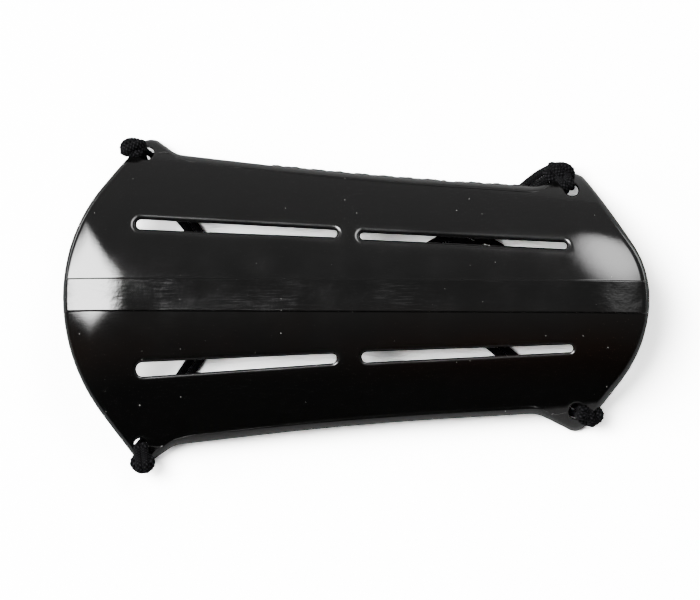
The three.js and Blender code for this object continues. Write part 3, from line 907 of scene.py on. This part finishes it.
def clearOfHoles(points):
    # whatever lies inside an ear hole is moved straight out to its wall
    for end, side in corners:
        centre = holePlace(end, side)
        away = points[..., :2] - centre
        distance = np.linalg.norm(away, axis=-1, keepdims=True)
        reach = np.maximum(distance, shell["holeRadius"] + openingLook["holeClear"])
        points[..., :2] = centre + away / np.maximum(distance, 1e-6) * reach
    return points


def openingRings(border, nearest, lip):
    # From the grid inwards: over the surface to the lip, round the lip by a quarter circle, down
    # the wall, and round the inner edge
    foot, half = nearest(border)
    away = border - foot
    distance = np.linalg.norm(away, axis=1)
    away /= distance[:, None]
    lipHere = np.minimum(lip, openingLook["lipShare"] * (distance - half))
    rings, edges = [], []

    def around(margin):
        return foot + away * (half + margin)[:, None]

    def place(p, height, edge):
        rings.append(np.column_stack([p, height]))
        edges.append(edge)

    for share in openingLook["approach"]:
        p = mix(border, around(lipHere), share)
        place(p, archHeight(*p.T), share * openingLook["approachEdge"])
    for turn in np.linspace(0, math.pi / 2, openingLook["lipSteps"])[1:]:
        p = around(lipHere * (1 - math.sin(turn)))
        place(p, archHeight(*p.T) - lipHere * (1 - math.cos(turn)), 1.0)
    for margin, lift in openingLook["innerSteps"]:
        p = around(np.full(len(p), margin))
        place(p, innerHeight(*p.T) + lift, 0.0)
    return rings, edges


def buildShell():
    loop = closedLoop()
    normals = outwardOf(loop)
    width = rimWidthAt(loop)
    inset = loop - normals * width[:, None]
    plan = topPlan(inset)
    x, y = plan[..., 0], plan[..., 1]
    outer = np.stack([x, y, archHeight(x, y) + bandLift(x, y)], axis=-1)
    inner = clearOfHoles(innerPoint(x, y))
    shape = plan.shape[:2]
    total = shape[0] * shape[1]
    index = np.arange(total).reshape(shape)
    points = [outer.reshape(-1, 3), inner.reshape(-1, 3)]
    lift = bandLift(x, y)
    band = [(lift > shell["bandFrom"]).astype(float).reshape(-1), np.zeros(total)]
    edge = [np.zeros(total), np.zeros(total)]
    count = 2 * total
    faces = []

    def place(ring, edgeShare, bandShare=0.0):
        nonlocal count
        points.append(ring)
        edge.append(np.full(len(ring), edgeShare))
        band.append(np.full(len(ring), bandShare))
        count += len(ring)
        return np.arange(count - len(ring), count)

    keep = np.ones((shape[0] - 1, shape[1] - 1), bool)
    for nearest, lip, clear in openings:
        foot, half = nearest(plan)
        block = blockAround(np.linalg.norm(plan - foot, axis=-1) - half, clear)
        keep[block[0]:block[1], block[2]:block[3]] = False
        border = blockBorder(index, block)
        rings, edges = openingRings(plan.reshape(-1, 2)[border], nearest, lip)
        chain = [border] + [place(ring, value) for ring, value in zip(rings, edges)]
        last = points[1][border]
        chain.append(place(mix(rings[-1], last, 0.5), 0.0))
        chain.append(border + total)
        faces += [stripFaces(upper, lower) for upper, lower in zip(chain[1:], chain[:-1])]
    faces.append(gridFaces(index, keep))
    faces.append(gridFaces(index + total, keep)[:, ::-1])

    whole = (0, shape[0] - 1, 0, shape[1] - 1)
    chain = [blockBorder(index, whole)]
    for turn in np.linspace(0, math.pi / 2, shell["rimSteps"])[1:]:
        p = loop + normals * (width * (math.sin(turn) - 1))[:, None]
        height = archHeight(p[:, 0], p[:, 1]) - shell["rimDrop"] * (1 - math.cos(turn))
        height += bandLift(p[:, 0], p[:, 1]) * math.cos(turn)
        chain.append(place(np.column_stack([p, height]), math.sin(turn)))
    half = shell["wall"] / 2
    for turn in np.linspace(0, math.pi, shell["underRimSteps"])[1:]:
        p = loop + normals * (half * (math.cos(turn) - 1))
        height = archHeight(loop[:, 0], loop[:, 1]) - shell["rimDrop"] - half * math.sin(turn)
        chain.append(place(clearOfHoles(np.column_stack([p, height])), shell["underRimEdge"]))
    chain.append(blockBorder(index + total, whole))
    faces += [stripFaces(upper, lower) for upper, lower in zip(chain[:-1], chain[1:])]

    points = np.concatenate(points)
    points[:, 2] = np.maximum(points[:, 2], 0)
    faces = np.concatenate(faces)
    used, faces = np.unique(faces, return_inverse=True)
    faces = faces.reshape(-1, 4).tolist()
    values = {"edge": np.concatenate(edge)[used], "band": np.concatenate(band)[used]}
    piece = makeObject("moulded_shell", points[used], faces, plasticMaterial, values)
    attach(piece, "root")
    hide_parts("guard_shell")
    return piece


guardPiece = buildShell()
print("shell made,", len(guardPiece.data.polygons), "faces")


# Moulding flash: a ragged fin left along the parting line of the far long edge

flash = {
    "reach": (-0.03, 0.058),     # where along X it runs
    "points": 700,
    "width": 0.00055,
    "thickness": 0.00022,
    "gaps": ((-0.0275, 0.0016), (0.0293, 0.0018)),
    "fadeIn": 0.004,
    "fadeOut": 0.006,
    "evenWidth": 0.62,
    "waves": ((0.2, 900, 0), (0.14, 2311, 1), (0.1, 5107, 2), (0.08, 9001, 0.5)),
    "root": 0.0003,              # how far it goes into the rim
    "sink": 0.0002,
    "gapCore": 0.6,              # the share of a gap where nothing stands
    "endThickness": 0.25,        # what is left of the thickness where the fin ends
    "corners": ((0.8, 0.8), (1, -0.2), (0.75, -1)),      # shares of its width and of its depth
}


def makeFlash():
    # The far outline between two places, moved out by a width that sums four waves, as a flat
    # five-cornered section that shrinks to nothing at both ends and at the gaps
    line = lines[1]["edge"]
    start, stop = flash["reach"]
    x = np.linspace(start, stop, flash["points"])
    y = np.interp(x, line[:, 0], line[:, 1])
    slope = np.gradient(y, x)
    out = np.stack([-slope, np.ones_like(slope)], axis=1)
    out /= np.linalg.norm(out, axis=1, keepdims=True)
    ragged = flash["evenWidth"]
    for size, pitch, shift in flash["waves"]:
        ragged = ragged + size * np.sin(x * pitch + shift)
    present = smooth(x, start, start + flash["fadeIn"]) * smooth(-x, -stop, flash["fadeOut"] - stop)
    for centre, half in flash["gaps"]:
        present = present * smooth(np.abs(x - centre), half * flash["gapCore"], half)
    reach = flash["width"] * ragged * present
    root = np.full(len(x), -flash["root"])
    depth = flash["thickness"] / 2 * mix(flash["endThickness"], 1, present)
    z = archHeight(x, y) - shell["rimDrop"] - flash["sink"]
    section = [(reach * wide, depth * high) for wide, high in flash["corners"]]
    section = [(root, depth), *section, (root, -depth)]
    rings = np.stack([np.column_stack([x + out[:, 0] * away, y + out[:, 1] * away, z + up])
                      for away, up in section], axis=1)
    points = rings.reshape(-1, 3)
    index = np.arange(len(points)).reshape(len(x), len(section))
    index = np.concatenate([index, index[:, :1]], axis=1)
    faces = gridFaces(index).tolist()
    faces.append(index[0, :-1][::-1].tolist())
    faces.append(index[-1, :-1].tolist())
    piece = makeObject("parting_flash", points, faces, flashMaterial)
    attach(piece, "root")


makeFlash()
print("flash made")


# Knots

# Each knot: its ear, where its middle lies from the hole, half its size, which way its mound
# runs in degrees (None: the two strands go over its top instead), how far past its middle the
# strands start as a share of its half size, how far out of the hole's middle they go down, how
# much the hole squeezes them, and the pair of strands that they go on to with the end of it
knots = {
    "elbow_far_knot": {
        "end": "elbow", "side": 1, "along": -0.0042, "out": 0.0016, "height": 0.0094,
        "half": (0.0042, 0.0031, 0.0029), "mound": 25, "neckReach": -0.1,
        "lean": 0.0012, "pinch": 0.8, "strand": ("elbow", 0)},
    "elbow_near_knot": {
        "end": "elbow", "side": -1, "along": 0.0006, "out": 0.0053, "height": 0.0072,
        "half": (0.0039, 0.0033, 0.003), "mound": None,
        "lean": 0.0004, "pinch": 1.0, "strand": ("elbow", -1)},
    "wrist_far_knot": {
        "end": "wrist", "side": 1, "along": -0.0035, "out": 0.0055, "height": 0.0066,
        "half": (0.0049, 0.0036, 0.0032), "mound": -45, "neckReach": -0.1,
        "lean": 0.0012, "pinch": 0.8, "strand": None},
    "wrist_near_knot": {
        "end": "wrist", "side": -1, "along": 0.0046, "out": 0.0012, "height": 0.008,
        "half": (0.0043, 0.0034, 0.0029), "mound": -75, "neckReach": 0.15,
        "lean": 0.0012, "pinch": 0.86, "strand": ("wrist_near", -1)},
}
knotLook = {
    "radius": 0.00128,
    "strandRadius": 0.00114,
    "apart": 0.00215,                # between the middles of the two strands
    "offRim": 0.0016,                # how far out they meet the rim at least
    # Places on the knot: how far past its middle as a share of its half size, less a share of the
    # cord's radius; how high over its middle or its top; and the share of the apart above
    "overTop": ((0.45, 0, "middle", -0.0012, 0.6), (1, 0.9, "middle", 0.0002, 0.8),
                (0.3, 0, "top", -0.0001, 0.95)),
    "neck": ("middle", 0.0002, 0.8),
    "atRim": {"top": -0.0009, "middle": 0.0007},
    "rimShare": 0.5,                 # how far back from its middle they reach the rim
    "bend": (0.4, -0.0026),          # where between the hole and there, and how high over its top
    "deepLean": 0.9,
    "freeLean": 0.5,
    "holeDepths": (0.0014, 0.0034),  # below the rim's top
    "joinLifts": (0.0006, -0.0002),  # over the cord below, at its start and just past it
    "freeHeight": 0.0041,
    "pinchFade": (0.0014, 0.0028),   # from the hole's middle
    "coreShare": 0.45,
    "coreLine": ((-1, -0.0002), (0, 0.0001), (1, -0.0002)),
    "moundLine": ((-1, -0.9), (-0.82, 0.1), (-0.4, 0.86), (0, 1),
                  (0.4, 0.86), (0.82, 0.1), (1, -0.9)),
}


def wrapRing(centre, half, heading, radius):
    # A turn of cord round the lump, low where the two strands pass over it: centre +
    # ((hx - r) cos t, (hy - r) sin t, -(hz - r) (1 + 2 cos 2 (t - heading)) / 4)
    t = np.linspace(0, 2 * np.pi, 2000, endpoint=False)
    size = np.array(half) - radius
    line = np.stack([size[0] * np.cos(t), size[1] * np.sin(t),
                     -size[2] * (0.25 + 0.5 * np.cos(2 * (t - heading)))], axis=1)
    length = lengthAlong(line)
    at = np.linspace(0, length[-1], int(length[-1] / cord["step"]), endpoint=False)
    return pointsAt(line, length, at) + centre


def strandOver(knot, centre):
    # two strands side by side: from the turn over the ear's rim, down through the hole against
    # its outer wall, and on to where the cords start below
    hole = holePlace(knot["end"], knot["side"])
    outward = centre[:2] - hole
    distance = np.linalg.norm(outward)
    outward /= distance
    aside = np.array([-outward[1], outward[0]])
    lean, radius, pinch = knot["lean"], knotLook["strandRadius"], knot["pinch"]
    halfReach = float(np.hypot(*(np.array(knot["half"][:2]) * outward)))
    top = centre[2] + knot["half"][2] - radius
    inner = max(distance - knotLook["rimShare"] * halfReach, lean + knotLook["offRim"])
    bend = mix(lean, inner, knotLook["bend"][0])
    level = {"middle": centre[2], "top": top}
    base = "top" if knot["mound"] is None else "middle"

    def rimTop(reach):
        return archHeight(*(hole + outward * reach)) + radius

    def makeOne(hand):
        side = aside * hand * knotLook["apart"] / 2

        def at(reach, z, wide=1.0):
            return (*(hole + outward * reach + side * wide), z)

        places = knotLook["overTop"]
        if knot["mound"] is not None:
            places = [(knot["neckReach"], 0, *knotLook["neck"])]
        route = [at(distance + share * halfReach - back * radius, level[over] + lift, wide)
                 for share, back, over, lift, wide in places]
        route.append(at(inner, max(rimTop(inner), level[base] + knotLook["atRim"][base])))
        entry, deep = (rimTop(lean) - depth for depth in knotLook["holeDepths"])
        route += [at(bend, max(rimTop(bend), top + knotLook["bend"][1])),
                  at(lean, entry, pinch), at(lean * knotLook["deepLean"], deep, pinch)]
        if knot["strand"]:
            pair, place = knot["strand"]
            ends = [strands[pair + "_strand_" + letter][1][place] for letter in "ab"]
            end = min(ends, key=lambda p: -hand * float((p[:2] - hole) @ aside))
            route += [tuple(end + (0, 0, lift)) for lift in knotLook["joinLifts"]]
        else:
            route.append(at(lean * knotLook["freeLean"], knotLook["freeHeight"]))
        line = curveThrough(route, cord["step"])[0]
        fromHole = np.linalg.norm(line[:, :2] - hole, axis=1)
        squeeze = mix(pinch, 1.0, smooth(fromHole, *knotLook["pinchFade"]))
        return braidTube(line, radius, (*aside, 0), squeeze=squeeze)

    return [makeOne(hand) for hand in (1, -1)]


def wrapTube(centre, half, heading):
    ring = wrapRing(centre, half, heading, knotLook["radius"])
    towards = (ring - centre) * (0.3, 0.3, 0) + (0, 0, 1e-3)
    return braidTube(ring, knotLook["radius"], towards, closed=True)


def moundOver(centre, half, heading):
    # one stretch of cord over the top of the turn, from side to side
    radius = knotLook["radius"]
    way = np.array([math.cos(heading), math.sin(heading), 0])
    reach = float(np.hypot(*(np.array(half) * way)[:2])) - 0.5 * radius
    top = half[2] - radius
    route = [centre + way * share * reach + np.array([0, 0, top * lift])
             for share, lift in knotLook["moundLine"]]
    return braidTube(curveThrough(route, cord["step"])[0], radius, (0, 0, 1) + way * 1e-3)


def makeKnot(name, knot):
    hole = holePlace(knot["end"], knot["side"])
    centre = np.array([hole[0] + knot["along"], hole[1] + knot["side"] * knot["out"], knot["height"]])
    coreReach = knot["half"][0] * knotLook["coreShare"]
    core = [centre + (coreReach * share, 0, lift) for share, lift in knotLook["coreLine"]]
    parts = strandOver(knot, centre)
    parts.append(braidTube(curveThrough(core, cord["step"])[0], knotLook["radius"], (0, 0, 1)))
    if knot["mound"] is None:
        heading = math.atan2(hole[1] - centre[1], hole[0] - centre[0])
    else:
        heading = math.radians(knot["mound"])
        parts.append(moundOver(centre, knot["half"], heading))
    parts.append(wrapTube(centre, knot["half"], heading))
    return makeCordPiece(name, "_tied", *joinParts(parts))


knotPieces = {name: makeKnot(name, knot) for name, knot in knots.items()}

joinKnot = {
    "centre": (0.0346, 0.0194, 0.0031),
    "half": (0.005, 0.0041, 0.0028),
    "turn": -25,
    "tails": (
        ((0.0314, 0.0196, 0.0024), (0.0322, 0.0192, 0.0043), (0.0356, 0.018, 0.0048),
         (0.0384, 0.0166, 0.0036), (0.0408, 0.0142, 0.0024), (0.0426, 0.0108, 0.0013)),
        ((0.0318, 0.0216, 0.0024), (0.0328, 0.0214, 0.0043), (0.0362, 0.0204, 0.0047),
         (0.0392, 0.0195, 0.0036), (0.0424, 0.0186, 0.0025), (0.0464, 0.0166, 0.0013)),
    ),
    "lowest": 0.0001,
}


def makeJoinKnot():
    # a turn of cord with both tails over it
    parts = [wrapTube(np.array(joinKnot["centre"]), joinKnot["half"], math.radians(joinKnot["turn"]))]
    for tail in joinKnot["tails"]:
        line = curveThrough(tail, cord["step"])[0]
        parts.append(braidTube(line, cord["diameter"] / 2, (0, 0, 1)))
    points, faces, weave = joinParts(parts)
    points[:, 2] = np.maximum(points[:, 2], joinKnot["lowest"])
    return makeCordPiece("wrist_join_knot", "_tied", points, faces, weave)


knotPieces["wrist_join_knot"] = makeJoinKnot()
print("knots made")


# Floor and lights

studio = {
    "floorHalf": 9.0,
    "fill": {"place": (-1.8, 0.1, 0.5), "size": 0.45, "power": 60.0},
    "sky": (-0.75, 0.9, 0.01, 0.5),  # from the near side's y to the far side's, and the light at both
    "key": {"strength": 66.0, "middle": (-0.49, 0.18), "reach": (0.44, 0.49), "core": 0.55,
            "nearFade": (-0.22, 0.0, 0.12, 1.0)},
    "glow": {"strength": 18.0, "middle": (0.55, 0.86), "reach": (0.48, 0.94), "power": 2.0},
}


def makeFloor():
    s = studio["floorHalf"]
    points = np.array([(-s, -s, 0), (s, -s, 0), (s, s, 0), (-s, s, 0)], float)
    floor = makeObject("floor", points, [[0, 1, 2, 3]], floorMaterial)


def makeFill():
    fill = studio["fill"]
    data = bpy.data.lights.new("leftFill", "AREA")
    data.shape = "SQUARE"
    data.size = fill["size"]
    data.energy = fill["power"]
    light = bpy.data.objects.new("leftFill", data)
    light.visible_glossy = False
    bpy.context.scene.collection.objects.link(light)
    place = Vector(fill["place"])
    turn = place.to_track_quat("Z", "Y").to_matrix().to_4x4()
    light.matrix_world = Matrix.Translation(place) @ turn


def addOffset(tree, value, middle, reach):
    return addMath(tree, "DIVIDE", addMath(tree, "SUBTRACT", value, middle), reach)


def makeWorld():
    # Soft light from beyond the far edge and little from the near side; a large diamond-shaped
    # key light at the upper left, and a wide soft glow at the right
    world = bpy.data.worlds.new("studioWorld")
    world.use_nodes = True
    tree = world.node_tree
    axes = addAxes(tree, addNode(tree, "TexCoord")["Generated"])
    sky = addRange(tree, axes["Y"], *studio["sky"])
    above = addMath(tree, "GREATER_THAN", axes["Z"])

    # key: |x - its middle| / reach + |y - its middle| / reach, full light where that is below
    # core, and less of it towards the near side
    key = studio["key"]
    offs = [addMath(tree, "ABSOLUTE", addOffset(tree, axes[axis], middle, reach))
            for axis, middle, reach in zip("XY", key["middle"], key["reach"])]
    diamond = addRange(tree, addSum(tree, *offs), key["core"], 1.0, key["strength"], 0.0)
    keyLight = addProduct(tree, diamond, addRange(tree, axes["Y"], *key["nearFade"]))

    # glow: the same with squares, of the slants x/z and y/z, and its fade to a power
    glow = studio["glow"]
    squares = []
    for axis, middle, reach in zip("XY", glow["middle"], glow["reach"]):
        off = addOffset(tree, addMath(tree, "DIVIDE", axes[axis], axes["Z"]), middle, reach)
        squares.append(addProduct(tree, off, off))
    fade = addRange(tree, addSum(tree, *squares), 0.0, 1.0, 1.0, 0.0)
    glowLight = addProduct(tree, addMath(tree, "POWER", fade, glow["power"]), glow["strength"])

    for edge in (diamond, fade):
        edge.node.interpolation_type = "SMOOTHSTEP"
    lights = addProduct(tree, addSum(tree, keyLight, glowLight), above)
    background = tree.nodes["Background"].inputs
    feed(tree, background["Strength"], addSum(tree, sky, lights))
    background["Color"].default_value = (1, 1, 1, 1)
    bpy.context.scene.world = world


makeFloor()
makeFill()
makeWorld()
print("floor and lights made")
